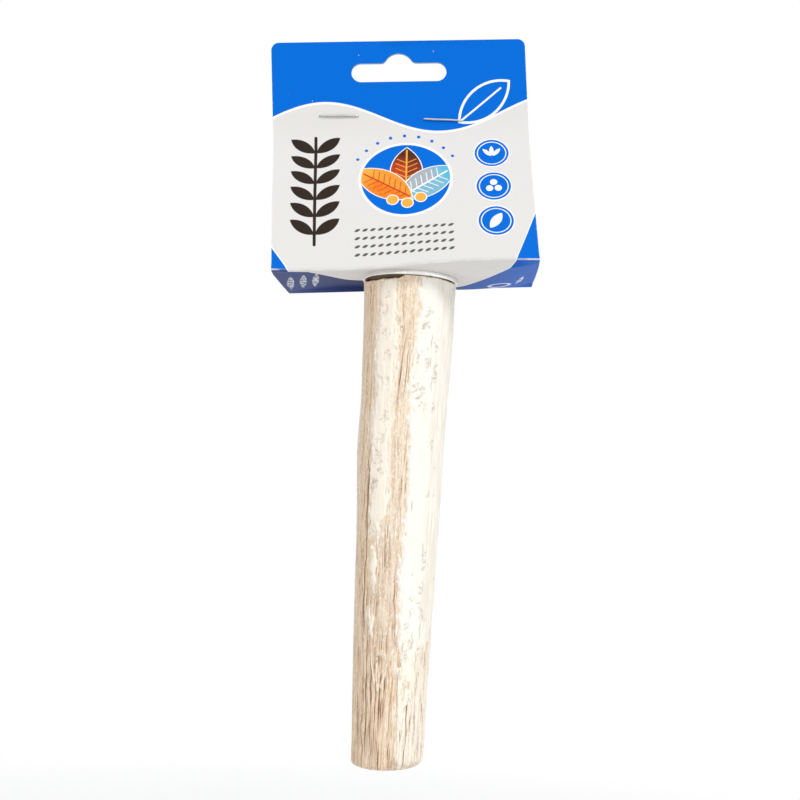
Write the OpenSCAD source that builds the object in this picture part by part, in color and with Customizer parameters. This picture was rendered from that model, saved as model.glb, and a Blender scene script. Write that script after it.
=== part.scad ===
// Bird perch: a wooden branch with a calcium coating, held by a hanger bolt, two
// washers and a wing nut, on the folded header card that it hangs from.
// The origin is the centre of the clamping face, on top of the washer on the branch.
// +Z runs along the bolt, away from the branch. +X is to the right, +Y to the back.

/* [Branch] */
// Length of the branch
rod_l = 150; // [120:5:200]
// Diameter of the bare wood at the mounting end
rod_base_d = 29.2; // [28:0.2:30]
// Diameter of the bare wood where the flare of the mounting end stops
rod_neck_d = 25.3; // [24:0.1:26]
// Diameter of the bare wood at the free end
rod_tip_d = 22.4; // [20:0.2:24]
// Distance from the mounting end to the end of the flare
rod_neck_l = 60; // [40:5:80]
// Rounding of the edge at the mounting end
rod_base_round = 0.8; // [0.4:0.1:1.5]
// Rounding of the edge at the free end
rod_tip_round = 3; // [1:0.5:5]

/* [Calcium coating] */
// Thickness of the calcium coating
coat_t = 0.4; // [0.2:0.1:0.8]
// Bare length at the mounting end
coat_base_gap = 1.2; // [0.9:0.1:3]
// Bare length at the free end
coat_tip_gap = 6; // [5:1:15]

/* [Hanger bolt] */
// Outside diameter of the machine thread
stud_d = 6; // [5:0.5:6]
// Length of the machine thread above the clamping face
stud_free_l = 24; // [20:1:28]
// Depth of the plain shank in the wood
shank_l = 4; // [2:1:6]
// Length of the wood thread below the shank
wood_thread_l = 30; // [20:2:40]
// Core diameter of the wood thread
wood_core_d = 4.2; // [3.6:0.2:4.4]
// Pitch of the wood thread
wood_pitch = 2.5; // [2:0.5:3]
// Diameter of the pilot hole in the wood
pilot_d = 4.8; // [4.6:0.1:5]
// Chamfer on the end of the machine thread
stud_chamfer = 0.6; // [0.3:0.1:1]

/* [Washers] */
// Outside diameter of both washers
washer_d = 30; // [26:1:32]
// Thickness of both washers
washer_t = 1.5; // [1:0.1:2]
// Diameter of the washers' hole
washer_hole_d = 6.4; // [6.3:0.1:7]
// Rounding of the washers' stamped edge, cut as a small chamfer
washer_edge = 0.15; // [0.1:0.05:0.3]

/* [Wing nut] */
// Width over both wings
nut_span = 25; // [22:0.5:26]
// Height over the wings
nut_h = 12; // [10:0.5:13]
// Diameter of the hub at its seat
hub_base_d = 12; // [10:0.5:13]
// Diameter of the hub at its top
hub_top_d = 10; // [9:0.5:11]
// Height of the hub
hub_h = 7; // [5:0.5:8]
// Thickness of the wings
wing_t = 2.2; // [1.5:0.1:3]
// Radius of the wings' round lobes
lobe_r = 4.2; // [3.5:0.1:5]
// Running clearance of the nut on the bolt, on the radius
nut_clearance = 0.05; // [0.02:0.01:0.1]

/* [Header card] */
// Width of the card
card_w = 82; // [70:1:100]
// Height of the card, from the bottom folds to the middle of the top edge
card_h = 78; // [74:1:90]
// Thickness of the board
board_t = 0.5; // [0.3:0.05:0.6]
// Depth of the sleeve at its bottom, front fold to back fold
sleeve_depth = 40; // [39:1:46]
// Height at which the two leaning panels meet
sleeve_h = 46; // [44:1:52]
// Rounding of the bottom folds
fold_r = 1; // [0.6:0.1:1.5]
// Tilt of the card against the bolt, right side up
card_tilt = 4.7; // [0:0.1:6]
// Distance of the card's middle to the left of the bolt
card_offset = 1.3; // [0:0.1:3]
// Slope of the top edge against the card's own width, right side down
top_slope = 1.35; // [0:0.05:2]
// Rounding of the top corners
corner_r = 2.5; // [1:0.5:4]
// Diameter of the hole for the bolt
card_hole_d = 6.6; // [6.4:0.1:7]

/* [Hang slot] */
// Width of the slot
slot_w = 29.6; // [24:0.2:36]
// Height of the slot's straight part
slot_h = 5.5; // [4.5:0.1:6]
// Radius of the round notch above the slot
notch_r = 4.7; // [3:0.1:6]
// Height of the notch above the slot's straight part
notch_rise = 3.2; // [1:0.1:4]
// Distance from the card's top edge to the middle of the slot
slot_drop = 10.4; // [9:0.1:12]

/* [Staples] */
// Width of a staple over its legs
staple_w = 12.8; // [10:0.1:14]
// Diameter of the staple wire
staple_wire_d = 0.6; // [0.4:0.05:0.7]
// Length of each bent end behind the card
staple_clinch_l = 4.2; // [3:0.1:4.6]
// Distance of the left staple's middle to the left of the card's middle
staple_left_x = 20; // [15:0.5:28]
// Height of the left staple above the meeting line of the panels
staple_left_rise = 7.8; // [4:0.1:10]
// Slope of the left staple, right side down
staple_left_slope = 3.1; // [0:0.1:8]
// Distance of the right staple's middle to the right of the card's middle
staple_right_x = 13.5; // [10:0.5:28]
// Height of the right staple above the meeting line of the panels
staple_right_rise = 5.1; // [4:0.1:10]
// Slope of the right staple, right side down
staple_right_slope = 5.5; // [0:0.1:8]

/* [Hidden] */
$fn = 96;

// One overrun for all cuts
overrun = 1;
// Radial gap of the plain shank in the wood
shank_clearance = 0.02;
// Gap between the coating and the wood's mean surface
coat_clearance = 0.05;
// Gap between a staple's wire and the board around and under it
staple_clearance = 0.04;
// Extra depth of the pilot hole past the bolt's point
pilot_extra = 3;
// Length of the bolt's point
point_l = 3;
// Gap between the washers' rim and the edge of the card's flat seat
seat_margin = 0.6;

rod_top = -washer_t;
card_top = board_t;
nut_seat = card_top + washer_t;
stud_r = stud_d / 2;
seat_r = washer_d / 2 + seat_margin;

function lerp(a, b, share) = a + (b - a) * share;
function clamp01(v) = max(0, min(1, v));
function arc(cx, cy, r, from, to, steps) =
    [for (i = [0 : steps]) let (a = lerp(from, to, i / steps)) [cx + r * cos(a), cy + r * sin(a)]];

// The branch: a straight taper from neck to tip, and a flare above the neck
taper = (rod_neck_d - rod_tip_d) / 2 / (rod_l - rod_neck_l);
flare = (rod_base_d - rod_neck_d) / 2 - taper * rod_neck_l;
function rod_r(d) = rod_tip_d / 2 + taper * (rod_l - d) + flare * pow(1 - min(d / rod_neck_l, 1), 2);

// Stations along the branch, as shares of the flare and of the straight taper
flare_shares = [0, 0.14, 0.3, 0.48, 0.7, 1];
flare_stations = [for (s = flare_shares) lerp(rod_base_round, rod_neck_l, s)];
tip_station = rod_l - rod_tip_round;

// Patches of the coating, each [turn from the front in degrees, start share, end share, half width
// share of the radius, wave phase in degrees]. Starts and ends are shares of the coated length.
patch_shares = [[-27, 0, 0.5, 0.24, 0], [-19, 0.53, 0.87, 0.2, 140],
                [44, 0, 0.58, 0.55, 60], [36, 0.6, 0.97, 0.42, 200],
                [-80, 0.05, 0.5, 0.2, 300], [-72, 0.55, 0.9, 0.26, 90],
                [103, 0.02, 0.36, 0.3, 20], [96, 0.4, 0.97, 0.36, 250],
                [156, 0, 0.6, 0.42, 110], [160, 0.63, 0.93, 0.34, 330],
                [-138, 0.03, 0.3, 0.38, 170], [-130, 0.34, 0.96, 0.36, 45]];
// Steps along one side of a patch, how blunt its ends are, and how much and how fast its edge waves
patch_steps = 10;
blunt_share = 0.35;
wave_share = 0.22;
wave_turn = 900;
coat_l = rod_l - coat_base_gap - coat_tip_gap;

// Width of a patch along its length, from 0 to 1: blunt ends and a wavy side
function patch_width(s, phase) =
    pow(max(0, sin(180 * s)), blunt_share) * (1 - wave_share + wave_share * sin(wave_turn * s + phase));

// The coating lies on the branch, along the same stations
module coat_shell() {
    inner = [for (d = concat(flare_stations, [tip_station])) [rod_r(d) + coat_clearance, -d]];
    outer = [for (i = [len(inner) - 1 : -1 : 0]) inner[i] + [coat_t - coat_clearance, 0]];
    rotate_extrude()
        polygon(concat(inner, outer));
}

module patch_prism(p) {
    half_w = p[3] * rod_r(rod_neck_l);
    span = (p[2] - p[1]) * coat_l;
    rows = [for (i = [0 : patch_steps]) i / patch_steps];
    right = [for (s = rows) [half_w * patch_width(s, p[4]), -s * span]];
    left = [for (i = [patch_steps - 1 : -1 : 1])
        [-half_w * patch_width(rows[i], -p[4]), -rows[i] * span]];
    rotate([0, 0, p[0]])
        translate([0, 0, -coat_base_gap - p[1] * coat_l])
            rotate([90, 0, 0])
                linear_extrude(rod_base_d / 2 + coat_t + overrun)
                    polygon(concat(right, left));
}

// Edge of the wood thread from the shank down to the point, ring by ring
thread_rings = floor(wood_thread_l / wood_pitch);
crest_share = 0.12;
function wood_thread(z0) = [for (i = [0 : thread_rings - 1]) each [
    [wood_core_d / 2, z0 - i * wood_pitch],
    [wood_core_d / 2, z0 - (i + 0.5 - crest_share) * wood_pitch],
    [stud_r, z0 - (i + 1 - 2 * crest_share) * wood_pitch],
    [stud_r, z0 - (i + 1 - crest_share) * wood_pitch]]];

module perch_rod() {
    profile = concat([[0, 0]],
        arc(rod_r(rod_base_round) - rod_base_round, -rod_base_round, rod_base_round, 90, 0, 3),
        [for (i = [1 : len(flare_stations) - 1]) [rod_r(flare_stations[i]), -flare_stations[i]]],
        arc(rod_r(tip_station) - rod_tip_round, -tip_station, rod_tip_round, 0, -90, 5),
        [[0, -rod_l]]);
    color("burlywood")
        translate([0, 0, rod_top])
            difference() {
                rotate_extrude()
                    polygon(profile);
                translate([0, 0, -shank_l])
                    cylinder(h = shank_l + overrun, r = stud_r + shank_clearance);
                translate([0, 0, -shank_l - wood_thread_l - pilot_extra])
                    cylinder(h = shank_l + wood_thread_l + pilot_extra, d = pilot_d);
            }
}

module calcium_coat() {
    color("ivory")
        translate([0, 0, rod_top])
            intersection() {
                coat_shell();
                union() {
                    for (p = patch_shares)
                        patch_prism(p);
                }
            }
}

module hanger_bolt() {
    shank_end = rod_top - shank_l;
    thread_end = shank_end - thread_rings * wood_pitch;
    profile = concat([[0, stud_free_l], [stud_r - stud_chamfer, stud_free_l],
                      [stud_r, stud_free_l - stud_chamfer], [stud_r, shank_end]],
                     wood_thread(shank_end),
                     [[wood_core_d / 2, thread_end], [0, thread_end - point_l]]);
    color("silver")
        rotate_extrude()
            polygon(profile);
}

module washer() {
    hole_r = washer_hole_d / 2;
    rim_r = washer_d / 2;
    rotate_extrude()
        polygon([[hole_r, 0], [rim_r - washer_edge, 0], [rim_r, washer_edge],
                 [rim_r, washer_t - washer_edge], [rim_r - washer_edge, washer_t], [hole_r, washer_t]]);
}

module perch_washer() {
    color("silver")
        translate([0, 0, rod_top])
            washer();
}

module cage_washer() {
    color("silver")
        translate([0, 0, card_top])
            washer();
}

// Middle of a wing's lobe, and the heights of the web's foot and top as shares of the hub
lobe = [nut_span / 2 - lobe_r, nut_h - lobe_r];
web_foot_share = 0.16;
web_top_share = 0.92;

// One wing, seen from the side: a round lobe and the web that joins it to the hub
module wing_outline() {
    foot = web_foot_share * hub_h;
    top = web_top_share * hub_h;
    translate(lobe)
        circle(r = lobe_r);
    polygon([[0, foot], [hub_base_d / 2, foot],
             lobe + lobe_r * [cos(-40), sin(-40)],
             lobe + lobe_r * [cos(130), sin(130)],
             [hub_top_d / 2, top], [0, top]]);
}

module wing_nut() {
    color("gainsboro")
        translate([0, 0, nut_seat])
            difference() {
                union() {
                    cylinder(h = hub_h, d1 = hub_base_d, d2 = hub_top_d);
                    for (side = [0, 1])
                        mirror([side, 0, 0])
                            translate([0, wing_t / 2, 0])
                                rotate([90, 0, 0])
                                    linear_extrude(wing_t)
                                        wing_outline();
                }
                translate([0, 0, -overrun])
                    cylinder(h = nut_h + 2 * overrun, r = stud_r + nut_clearance);
            }
}

// The card's own frame: its middle is left of the bolt, and its right side is tilted up
module in_card_frame() {
    translate([-card_offset, 0, 0])
        rotate([0, -card_tilt, 0])
            children();
}

half_depth = sleeve_depth / 2;
// Distance from the card's middle plane to the inner edge of the strips along the folds
strip_y = half_depth - fold_r - board_t;
lean = atan((half_depth - board_t) / sleeve_h);
lean_t = board_t / cos(lean);
// Height at which the insides of the two leaning panels meet
inner_apex = sleeve_h * (half_depth - lean_t) / (half_depth - board_t);
card_reach = card_h + card_w * tan(top_slope);

// The card from the side: two panels that lean together, two plies side by side above them,
// and a narrow strip of the bottom along each fold
module card_section() {
    foot_y = half_depth - lean_t - board_t * tan(lean);
    difference() {
        polygon(concat(
            arc(fold_r - half_depth, fold_r, fold_r, 270, 180, 4),
            [[-board_t, sleeve_h], [-board_t, card_reach], [board_t, card_reach], [board_t, sleeve_h]],
            arc(half_depth - fold_r, fold_r, fold_r, 0, -90, 4)));
        polygon([[-foot_y, board_t], [0, inner_apex], [foot_y, board_t],
                 [strip_y, board_t], [strip_y, -overrun], [-strip_y, -overrun], [-strip_y, board_t]]);
    }
}

// The card from the front: round top corners and a top edge that slopes down to the right
module card_outline() {
    drop = card_w / 2 * tan(top_slope);
    polygon([[-card_w / 2, -overrun], [card_w / 2, -overrun],
             [card_w / 2, card_h - drop - corner_r], [card_w / 2 - corner_r, card_h - drop],
             [corner_r - card_w / 2, card_h + drop], [-card_w / 2, card_h + drop - corner_r]]);
    translate([card_w / 2 - corner_r, card_h - drop - corner_r])
        circle(r = corner_r);
    translate([corner_r - card_w / 2, card_h + drop - corner_r])
        circle(r = corner_r);
}

module hang_slot() {
    translate([0, card_h - slot_drop])
        union() {
            square([slot_w - slot_h, slot_h], center = true);
            for (side = [-1, 1])
                translate([side * (slot_w - slot_h) / 2, 0])
                    circle(d = slot_h);
            translate([0, slot_h / 2 + notch_rise - notch_r])
                circle(r = notch_r);
        }
}

// Places of the bottom panel's points. Between the washers it is square to the bolt, and it
// turns into the card's tilt towards its folds and its open ends.
end_steps = 4;
side_steps = 3;
panel_reach = half_depth - fold_r;
// Distance of the bottom panel's open ends from the ends of its fold strips
panel_inset = 0.1;
panel_end = card_w / 2 - panel_inset;
seat_left = (card_offset - seat_r) / cos(card_tilt);
seat_right = (card_offset + seat_r) / cos(card_tilt);
panel_us = concat([for (i = [0 : end_steps]) lerp(-panel_end, seat_left, i / end_steps)],
                  [for (i = [0 : end_steps]) lerp(seat_right, panel_end, i / end_steps)]);
panel_ys = concat([for (i = [0 : side_steps]) lerp(-panel_reach, -seat_r, i / side_steps)],
                  [for (i = [0 : side_steps]) lerp(seat_r, panel_reach, i / side_steps)]);
function end_share(u) = clamp01(u < 0 ? (seat_left - u) / (seat_left + panel_end)
                                      : (u - seat_right) / (panel_end - seat_right));
function side_share(y) = clamp01((abs(y) - seat_r) / (panel_reach - seat_r));
function tilt_share(u, y) = 1 - (1 - end_share(u)) * (1 - side_share(y));
// The panel's edges are a little thinner than the strips that hold them
edge_share = 0.8;
function panel_point(u, y, side) =
    let (tilted = tilt_share(u, y),
         thick = board_t * (abs(y) < panel_reach ? 1 : edge_share),
         w = (board_t + side * thick) / 2)
        [u * cos(card_tilt) - tilted * w * sin(card_tilt) - card_offset, y,
         tilted * u * sin(card_tilt) + w * lerp(1, cos(card_tilt), tilted)];

module bottom_panel() {
    rows = len(panel_us);
    cols = len(panel_ys);
    layer = rows * cols;
    points = [for (side = [-1, 1]) for (u = panel_us) for (y = panel_ys) panel_point(u, y, side)];
    rim = concat([for (c = [0 : cols - 1]) c],
                 [for (r = [1 : rows - 1]) r * cols + cols - 1],
                 [for (c = [cols - 2 : -1 : 0]) (rows - 1) * cols + c],
                 [for (r = [rows - 2 : -1 : 1]) r * cols]);
    cells = [for (r = [0 : rows - 2]) for (c = [0 : cols - 2]) r * cols + c];
    lower = [for (q = cells) each [[q, q + cols, q + 1], [q + 1, q + cols, q + cols + 1]]];
    upper = [for (f = lower) [f[2] + layer, f[1] + layer, f[0] + layer]];
    sides = [for (i = [0 : len(rim) - 1])
        let (a = rim[i], b = rim[(i + 1) % len(rim)])
            each [[a, b, a + layer], [b, b + layer, a + layer]]];
    polyhedron(points, concat(lower, upper, sides));
}

// Where a staple sits in the card's frame: its middle is on the front of the front ply
module in_staple_frame(x, rise, slope) {
    in_card_frame()
        translate([x, -board_t, sleeve_h + rise])
            rotate([0, slope, 0])
                children();
}

staple_r = staple_wire_d / 2;
leg_x = staple_w / 2 - staple_r;
// Distance from the front ply to the middle of the wire, and the same behind the back ply
wire_out = staple_r + staple_clearance;

module staple_holes() {
    for (side = [-1, 1])
        translate([side * leg_x, 0, 0])
            rotate([-90, 0, 0])
                translate([0, 0, -overrun])
                    cylinder(h = 2 * board_t + 2 * overrun, r = staple_r + staple_clearance);
}

module staple() {
    leg_l = 2 * board_t + 2 * wire_out;
    color("gray")
        translate([0, -wire_out, 0])
            union() {
                translate([-leg_x, 0, 0])
                    rotate([0, 90, 0])
                        cylinder(h = 2 * leg_x, r = staple_r);
                for (side = [-1, 1])
                    translate([side * leg_x, 0, 0]) {
                        sphere(r = staple_r);
                        rotate([-90, 0, 0])
                            cylinder(h = leg_l, r = staple_r);
                        translate([0, leg_l, 0]) {
                            sphere(r = staple_r);
                            rotate([0, -side * 90, 0])
                                cylinder(h = staple_clinch_l, r = staple_r);
                        }
                    }
            }
}

module header_card() {
    color("dodgerblue")
        difference() {
            union() {
                bottom_panel();
                in_card_frame()
                    intersection() {
                        translate([-card_w / 2, 0, 0])
                            rotate([90, 0, 90])
                                linear_extrude(card_w)
                                    card_section();
                        translate([0, half_depth + overrun, 0])
                            rotate([90, 0, 0])
                                linear_extrude(sleeve_depth + 2 * overrun)
                                    card_outline();
                    }
            }
            in_card_frame()
                translate([0, half_depth, 0])
                    rotate([90, 0, 0])
                        linear_extrude(sleeve_depth)
                            hang_slot();
            translate([0, 0, -overrun])
                cylinder(h = board_t + 2 * overrun, d = card_hole_d);
            in_staple_frame(-staple_left_x, staple_left_rise, staple_left_slope)
                staple_holes();
            in_staple_frame(staple_right_x, staple_right_rise, staple_right_slope)
                staple_holes();
        }
}

module staple_left() {
    in_staple_frame(-staple_left_x, staple_left_rise, staple_left_slope)
        staple();
}

module staple_right() {
    in_staple_frame(staple_right_x, staple_right_rise, staple_right_slope)
        staple();
}

perch_rod();
calcium_coat();
hanger_bolt();
perch_washer();
cage_washer();
wing_nut();
header_card();
staple_left();
staple_right();
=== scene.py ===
"""A bird perch on its folded header card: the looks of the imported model's pieces.

The branch has a chalky calcium coating in patches. The card is one sheet, cut and printed flat and
then folded. Sizes are in millimetres until new_piece turns them into metres. Angles round the branch
are degrees from its front, and d is the distance from its mounting end.
"""
from math import asin, atan, cos, degrees, pi, radians, sin, tan

import bmesh
import bpy
import numpy as np
from mathutils import Color, Matrix, Vector
from mathutils.geometry import delaunay_2d_cdt


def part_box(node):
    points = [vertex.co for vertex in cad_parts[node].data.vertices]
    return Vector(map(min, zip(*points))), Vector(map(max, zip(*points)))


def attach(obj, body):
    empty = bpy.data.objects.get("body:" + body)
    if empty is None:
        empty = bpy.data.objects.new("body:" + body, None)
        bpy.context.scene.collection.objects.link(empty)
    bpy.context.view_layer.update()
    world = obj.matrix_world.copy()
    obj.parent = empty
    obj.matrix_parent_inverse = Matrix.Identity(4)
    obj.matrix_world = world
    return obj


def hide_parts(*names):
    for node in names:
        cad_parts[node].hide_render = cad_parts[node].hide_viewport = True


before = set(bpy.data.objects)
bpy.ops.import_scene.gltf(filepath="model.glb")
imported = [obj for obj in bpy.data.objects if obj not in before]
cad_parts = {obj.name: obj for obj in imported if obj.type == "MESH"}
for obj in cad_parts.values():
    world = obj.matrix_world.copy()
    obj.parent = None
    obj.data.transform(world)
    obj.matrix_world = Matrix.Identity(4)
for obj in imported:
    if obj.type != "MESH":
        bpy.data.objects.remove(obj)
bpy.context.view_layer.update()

MM = 0.001

# The photograph's camera: its place, then azimuth, elevation and roll in degrees
CAMERA_PLACE = (13.04, -392.21, -76.07)
CAMERA_TURNS = (2.09, -5.41, 2.92)

# Branch
ROD_LOW, ROD_TOP = (corner.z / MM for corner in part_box("perch_rod"))
ROD_L = ROD_TOP - ROD_LOW
BASE_R = 14.6
NECK_R = 12.65
TIP_R = 11.2
NECK_L = 60
BASE_ROUND = 0.35
TIP_ROUND = 3
TAPER = (NECK_R - TIP_R) / (ROD_L - NECK_L)
FLARE = BASE_R - NECK_R - TAPER * NECK_L
GIRTH = 2 * pi * NECK_R
PILOT_R = 2.4
PILOT_L = 37
SHANK_HOLE_R = 3.02
SHANK_L = 4
# Knot: angle, d
KNOT = (-84, 54)
# Turns of the grain over the branch's length
GRAIN_TURNS = -0.05
ROD_COLUMNS = 414
SIDE_ROWS = 205

# Calcium coating
COAT_T = 0.42
COAT_BASE_GAP = 0.5
COAT_TIP_GAP = 6
COAT_COLUMNS = 432
COAT_ROWS = 300
# Bands of coating: share of the branch's length, angles of the left and right edge, wear
BANDS = [
    [(0, -29, -18, 0.3), (0.03, -36, -15, 0.2), (0.1, -38, -12, 0.1), (0.17, -41, -10, 0.1),
     (0.25, -37, -12, 0.1), (0.32, -43, -15, 0.25), (0.4, -41, -12, 0.3), (0.49, -38, -13, 0.25),
     (0.505, -37, -22, 0.45), (0.57, -35, -24, 0.55), (0.65, -31, -26, 0.95)],
    [(-0.01, 15, 78, 0), (0.1, 17, 86, 0.05), (0.19, 14, 92, 0.1), (0.23, 9, 94, 0),
     (0.3, 13, 95, 0), (0.45, 13, 92, 0.05), (0.6, 11, 88, 0.1), (0.7, 10, 82, 0.2),
     (0.76, 10, 60, 0.6), (0.82, 10, 42, 0.9), (0.9, 14, 34, 1)],
    [(-0.01, 108, 134, 0.3), (0.1, 104, 138, 0.3), (0.3, 108, 128, 0.6), (0.38, 114, 120, 0.8)],
    [(0.4, 120, 126, 0.6), (0.47, 102, 140, 0.3), (0.6, 92, 150, 0.1), (0.8, 96, 136, 0.4),
     (0.93, 112, 118, 0.9)],
    [(-0.01, 150, 192, 0.1), (0.3, 140, 204, 0.2), (0.44, 152, 196, 0.4), (0.56, 172, 178, 0.8)],
    [(0.6, 180, 184, 0.6), (0.68, 166, 198, 0.5), (0.77, 160, 206, 0.2), (0.9, 178, 186, 0.9)],
    [(-0.01, 222, 244, 0.3), (0.06, 212, 256, 0.2), (0.2, 208, 262, 0.1), (0.3, 216, 250, 0.5),
     (0.36, 228, 234, 0.9)],
    [(0.38, 222, 226, 0.6), (0.46, 212, 244, 0.4), (0.6, 206, 262, 0.1), (0.8, 212, 256, 0.3),
     (0.94, 228, 234, 0.9)],
    [(0.68, -38, -36, 0.5), (0.705, -39, -28, 0.6), (0.73, -32, -30, 0.9)]]
# Coating rubbed into the wood, with its paleness in place of the wear
RUBBED = [
    [(0, -95, -66, 0.3), (0.5, -100, -62, 0.3), (1, -95, -68, 0.1)],
    [(0.62, 8, 100, 0.45), (0.76, 10, 120, 0.7), (0.88, 8, 110, 0.72), (1.03, 14, 100, 0.72)],
    [(0, -14, 18, 0.12), (0.3, -12, 16, 0.25), (0.5, -14, 16, 0.36), (0.57, -30, 12, 0.22),
     (0.69, -34, 8, 0.2), (0.76, -32, 2, 0.12)],
    [(0.3, 130, 260, 0.5), (0.8, 150, 240, 0.4)]]

# Bolt and washers
STUD_R = 3
STUD_TIP, STUD_TOP = (corner.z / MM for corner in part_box("hanger_bolt"))
STUD_CHAMFER = 0.6
BOLT_COLUMNS = 48
MACHINE_PITCH = 1
MACHINE_DEPTH = 0.5
WOOD_THREAD_TOP = ROD_TOP - SHANK_L
WOOD_PITCH = 2.5
WOOD_CORE_R = 2.1
POINT_L = 3
WASHER_R = 15
WASHER_HOLE_R = 3.2
# A washer's lower edge is rounder than the others
WASHER_ROUND = 0.3
WASHER_SHARP = 0.18

# Wing nut
HUB_H = 7
HUB_BASE_R = 6
HUB_TOP_R = 5
NUT_BORE_R = 3.05
WING_T = 2.2
LOBE_R = 4.2

# Header card
BOARD_T = 0.5
CARD_W = 82
CARD_H = 78
CARD_TILT = radians(4.7)
CARD_OFFSET = 1.3
TOP_SLOPE = tan(radians(1.35))
CORNER_R = 2.5
HALF_DEPTH = 20
SLEEVE_H = 46
FOLD_R = 1
BEND_R = 28
PANEL_BULGE = 0.7
SEAT_R = 15.6
BOLT_HOLE_R = 3.3
SLOT_W = 30.75
SLOT_H = 6.25
SLOT_SHIFT = -0.18
SLOT_DROP = 10.4
NOTCH_R = 4.85
NOTCH_RISE = 3.2
NOTCH_EASE = 1.1
# Place along the sheet, how far the left and right edge stray to the right there
EDGE_STRAY = [
    (-101, -0.35, -0.22), (-75, -0.4, -0.22), (-45, 0.1, -0.4), (-22, 0.6, -0.2), (-14, 0.35, 0.2),
    (-5, 0.6, 0.4), (6, 0.95, 0.5), (16, 1.35, 0.4), (22, 1.5, 0.1), (50, 0.5, -0.2), (75, -0.4, -0.2),
    (101, -0.4, -0.2)]

# Staples: middle along the card, rise above the sleeve, slope
STAPLES = {"staple_left": (-20, 7.8, radians(3.1)), "staple_right": (13.5, 5.1, radians(5.5))}
STAPLE_W = 12.8
STAPLE_BEND_R = 0.45
WIRE_R = 0.3
WIRE_GAP = 0.04
CLINCH_L = 4.2

# Print colours
BLUE = (0, 107, 212)
# Painted shade and sheen of the underside: a dark blue for its shade and the branch's shadow, brighter and
# greyer blues for sheen
SHADE_NAVY = (9, 26, 80)
SHEEN_BLUE = (20, 96, 192)
GREY_SHEEN_BLUE = (40, 62, 122)
PALE = (225, 222, 219)
WHITE = (252, 252, 252)
BROWN = (50, 40, 34)
GREY = (96, 92, 92)
ORANGE = (240, 122, 32)
AMBER = (252, 176, 72)
RUST = (196, 70, 36)
TEAL = (62, 186, 220)
SMOKE = (176, 176, 180)
PRINT_EDGE = 0.07
# Farther than any print reaches
FAR = 1000.0


def colour(rgb):
    """Linear RGBA of a colour in sRGB from 0 to 255."""
    return (*Color([v / 255 for v in rgb]).from_srgb_to_scene_linear(), 1)


def smooth(x):
    x = np.clip(x, 0, 1)
    return x * x * (3 - 2 * x)


def value_noise(x, y, seed, wrap):
    """Noise from 0 to 1 that repeats every wrap cells along x."""
    table = np.random.default_rng(seed).random((int(np.max(y)) + 3, wrap))
    xi, yi = np.floor(x).astype(int), np.floor(y).astype(int)
    sx, sy = smooth(x - xi), smooth(y - yi)
    x0, x1 = xi % wrap, (xi + 1) % wrap
    low, high = (table[row, x0] * (1 - sx) + table[row, x1] * sx for row in (yi, yi + 1))
    return low * (1 - sy) + high * sy


def uneven(turn, d, cells, length, seed):
    """Noise from -0.5 to 0.5 on the branch, by cells round it and the length of each."""
    return value_noise(turn * cells, d / length, seed, cells) - 0.5


def apart(turn, at):
    """Turns from one place to another, the short way."""
    return (turn - at + 0.5) % 1 - 0.5


def arc(x, y, radius, start, end, steps):
    """Points on an arc between two angles in degrees."""
    angles = np.radians(np.linspace(start, end, steps + 1))
    return [(x + radius * cos(a), y + radius * sin(a)) for a in angles]


def with_settings(thing, **settings):
    for name, value in settings.items():
        setattr(thing, name, value)
    return thing


class Value:
    """A node's output. A shape is one too: the distance from its outline, negative inside."""

    def __init__(self, nodes, socket):
        self.n, self.socket = nodes, socket

    def math(self, operation, *others):
        """Arithmetic on a number, or on each coordinate of a place."""
        kind = "VectorMath" if self.socket.type == "VECTOR" else "Math"
        return self.n.add(kind, (self, *others), int(operation == "LENGTH"), operation=operation)

    def __add__(self, other):
        return self.math("ADD", other)

    def __sub__(self, other):
        return self.math("SUBTRACT", other)

    def __mul__(self, other):
        return self.math("MULTIPLY", other)

    def __abs__(self):
        return self.math("ABSOLUTE")

    def most(self, other):
        """The larger one. Of two shapes, the part that they share."""
        return self.math("MAXIMUM", other)

    def ramp(self, low, high, to_low=0, to_high=1):
        return self.n.add("MapRange", (self, low, high, to_low, to_high))

    def noise(self, scale, detail=3, roughness=0.5):
        return self.n.add("TexNoise", (self, 0, scale, detail, roughness), "Fac")

    def bump(self, height, strength, **more):
        inputs = {"Height": self, "Distance": height * MM, "Strength": strength, **more}
        return self.n.add("Bump", inputs)

    def part(self, axis):
        return self.n.add("SeparateXYZ", (self,), axis)

    def moved(self, x, y, angle=0):
        """The place as seen from another one, turned by an angle in degrees."""
        place = self - (x, y, 0)
        if not angle:
            return place
        return self.n.add("VectorRotate", {0: place, 3: -radians(angle)}, rotation_type="Z_AXIS")

    def repeat(self, x_step=FAR, x_count=1, y_step=FAR, y_count=1):
        """The place as seen from the nearest of several copies, the first at the origin."""
        snapped = (self + (x_step / 2, y_step / 2, 0.5)).math("SNAP", (x_step, y_step, 1))
        last = (x_step * (x_count - 1), y_step * (y_count - 1), 0)
        return self - snapped.most((0, 0, 0)).math("MINIMUM", last)

    def mirrored(self):
        """The place with both sides of the x axis folded onto one."""
        return self.n.add("CombineXYZ", (self.part("X"), abs(self.part("Y"))))

    def disc(self, radius):
        return self.math("LENGTH") - radius

    def leaf(self, half_l, half_w):
        """A pointed leaf along x, between two arcs."""
        radius = (half_l ** 2 + half_w ** 2) / (2 * half_w)
        return (abs(self) + (0, radius - half_w, 0)).disc(radius)

    def bar(self, half_l, round_r, half_w=0):
        """A rounded bar along x."""
        return (abs(self) - (half_l, half_w, 0)).most((0, 0, 0)).disc(round_r)

    def line(self, width):
        return abs(self) - width / 2


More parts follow.
